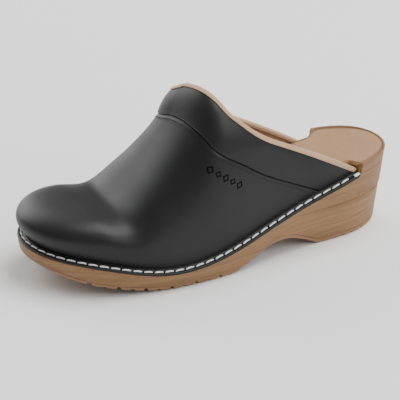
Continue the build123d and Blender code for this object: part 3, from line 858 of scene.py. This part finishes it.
def build_bar_tacks():
    spans = []
    for inset in (STITCH_INSET - 1.6, STITCH_INSET - 0.2):
        line = edge_line(60, inset)[0]
        for tip, before in ((line[0], line[1]), (line[-1], line[-2])):
            spans.append((on_flange(tip), on_flange(tip + unit(tip - before) * TACK_LENGTH), (0, 0, 1)))
    capsules("tack_thread", spans, STITCH_RADIUS, 0.2, WHITE_THREAD, "bar_tacks")


def shifted(line, shift):
    p = np.array(line, float)
    run = unit(np.gradient(p, axis=0))
    return p + shift * np.c_[-run[:, 1], run[:, 0]]


def build_collar_stitches():
    v = np.linspace(-0.97, 0.97, 400)
    place = FORM.crossing(shifted(SEAM, -SEAM_STITCH_INSET), v)
    normal = FORM.normals(place, v)
    walk = FORM.points(place, v)
    run = np.r_[0, np.cumsum(np.linalg.norm(np.diff(walk, axis=0), axis=1))]
    spans = []
    for s in np.arange(SEAM_STITCH_PITCH, run[-1] - SEAM_STITCH_PITCH, SEAM_STITCH_PITCH):
        at = [np.array([np.interp(s + d, run, walk[:, k]) for k in range(3)])
              for d in (-SEAM_STITCH_HALF, SEAM_STITCH_HALF)]
        up = unit(np.array([np.interp(s, run, normal[:, k]) for k in range(3)]))
        spans.append((at[0] + up * 0.05, at[1] + up * 0.05, up))
    capsules("collar_thread", spans, SEAM_STITCH_RADIUS, 0.15, BLACK_THREAD,
             "collar_stitches")


# ---- pressed ornament on the outer side --------------------------------------------------------------
ORNAMENT_START = (-18.0, 80.5)       # x and z of the first lozenge's middle, and of the last's
ORNAMENT_END = (3.0, 65.5)
LOZENGES = 5
LOZENGE_HALF_HEIGHTS = (3.3, 2.5)    # tall and short ones take turns
LOZENGE_FILL = 0.43                  # half width as a share of the pitch


def side_place(x, z):
    """(along, across) of the point of the outer wall seen at x and height z."""
    along = (x - DOME_X) / (RIDGE_END_X - DOME_X)
    low = -np.ones(np.shape(x))
    high = np.zeros(np.shape(x))
    for _ in range(30):
        mid = (low + high) / 2
        above = FORM.points(along, mid)[..., 2] > z
        high = np.where(above, mid, high)
        low = np.where(above, low, mid)
    return along, mid


def build_ornament():
    """A row of small pressed lozenge outlines laid on the leather's face; their dark colour is painted shade
    standing in for the pressed grooves.
    """
    start = np.array(ORNAMENT_START)
    run = np.array(ORNAMENT_END) - start
    pitch = np.linalg.norm(run) / (LOZENGES - 1)
    run = unit(run)
    rise = np.array([-run[1], run[0]])
    points = []
    faces = []
    t = np.linspace(-1, 1, 17)
    a, b = np.meshgrid(t, t, indexing="ij")
    rim = np.maximum(np.abs(a), np.abs(b))
    height = 0.1 * smooth(1.02, 0.9, rim) * smooth(0.48, 0.62, rim) - 0.02
    quads = [quad for quad in grid_quads(len(t), len(t)) if rim.ravel()[list(quad)].mean() > 0.55]
    for i in range(LOZENGES):
        spot = start + run * i * pitch + ((a + b) / 2)[..., None] * run * pitch * LOZENGE_FILL
        spot = spot + ((a - b) / 2)[..., None] * rise * LOZENGE_HALF_HEIGHTS[i % 2]
        along, across = side_place(spot[..., 0], spot[..., 1])
        base = len(points) * len(t) ** 2
        points.append(FORM.offset(along, across, height).reshape(-1, 3))
        faces += [tuple(base + k for k in face) for face in quads]
    make_object("pressed_lozenges_painted_shade", np.concatenate(points), faces, PRESSED_PAINTED_SHADE, None)


# ---- everything --------------------------------------------------------------------------------
build_wood_sole()
build_outsole()
build_footbed()
build_vamp()
build_backing("toe_stiffener", "toe_puff", -1, 0.1)
build_backing("vamp_backing", "vamp_interlining", 0.12, 1)
build_vamp_lining()
build_collar()
build_collar_layers()
build_binding()
build_welt_stitches()
build_bar_tacks()
build_collar_stitches()
build_ornament()


# ---- studio, in metres ---------------------------------------------------------------------------
FLOOR_REACH = 6.0
LIGHT_AIM = Vector((0, 0, 0.05))
WORLD_STRENGTH = 0.38


def build_floor():
    n = Nodes("pale_floor")
    soft = n.noise(3, detail=2)
    color = n.ramp(soft, [(0.3, (0.93, 0.93, 0.93)), (0.7, (0.95, 0.95, 0.95))])
    material = n.finish(color, None, None, Roughness=0.9, Specular_IOR_Level=0.1)
    mesh = bpy.data.meshes.new("floor")
    corners = [(x * FLOOR_REACH, y * FLOOR_REACH, 0) for x, y in ((-1, -1), (1, -1), (1, 1), (-1, 1))]
    mesh.from_pydata(corners, [], [(0, 1, 2, 3)])
    mesh.materials.append(material)
    floor = bpy.data.objects.new("floor", mesh)
    bpy.context.scene.collection.objects.link(floor)


def area_light(name, place, size, power):
    data = bpy.data.lights.new(name, "AREA")
    data.shape = "RECTANGLE"
    data.size = size
    data.size_y = size
    data.energy = power
    lamp = bpy.data.objects.new(name, data)
    lamp.location = place
    lamp.rotation_euler = (LIGHT_AIM - Vector(place)).to_track_quat("-Z", "Y").to_euler()
    bpy.context.scene.collection.objects.link(lamp)


def build_lights():
    world = bpy.data.worlds.new("studio")
    bpy.context.scene.world = world
    world.use_nodes = True
    background = world.node_tree.nodes["Background"]
    background.inputs["Color"].default_value = (1, 1, 1, 1)
    background.inputs["Strength"].default_value = WORLD_STRENGTH
    area_light("top_softbox", (0.75, -0.1, 1.9), 1.6, 50)
    area_light("back_softbox", (-0.5, 1.8, 0.9), 1.6, 30)
    area_light("front_fill", (0.9, -1.6, 1.3), 1.2, 20)


CAMERA_AZIMUTH = -26.0
CAMERA_ELEVATION = 26.54
CAMERA_DISTANCE = 2.136
CAMERA_AIM = (0.0, -0.000963, 0.045)
CAMERA_LENS = 283.7
CAMERA_SHIFT = (-0.01775, -0.03175)


def build_camera():
    data = bpy.data.cameras.new("camera")
    data.lens = CAMERA_LENS
    data.sensor_width = 36
    data.shift_x, data.shift_y = CAMERA_SHIFT
    camera = bpy.data.objects.new("camera", data)
    a = math.radians(CAMERA_AZIMUTH)
    e = math.radians(CAMERA_ELEVATION)
    back = Vector((math.sin(a) * math.cos(e), -math.cos(a) * math.cos(e), math.sin(e)))
    camera.location = Vector(CAMERA_AIM) + back * CAMERA_DISTANCE
    camera.rotation_mode = "QUATERNION"
    camera.rotation_quaternion = (-back).to_track_quat("-Z", "Y")
    data.clip_start = 0.1
    data.clip_end = 30
    bpy.context.scene.collection.objects.link(camera)
    bpy.context.scene.camera = camera


build_floor()
build_lights()
build_camera()
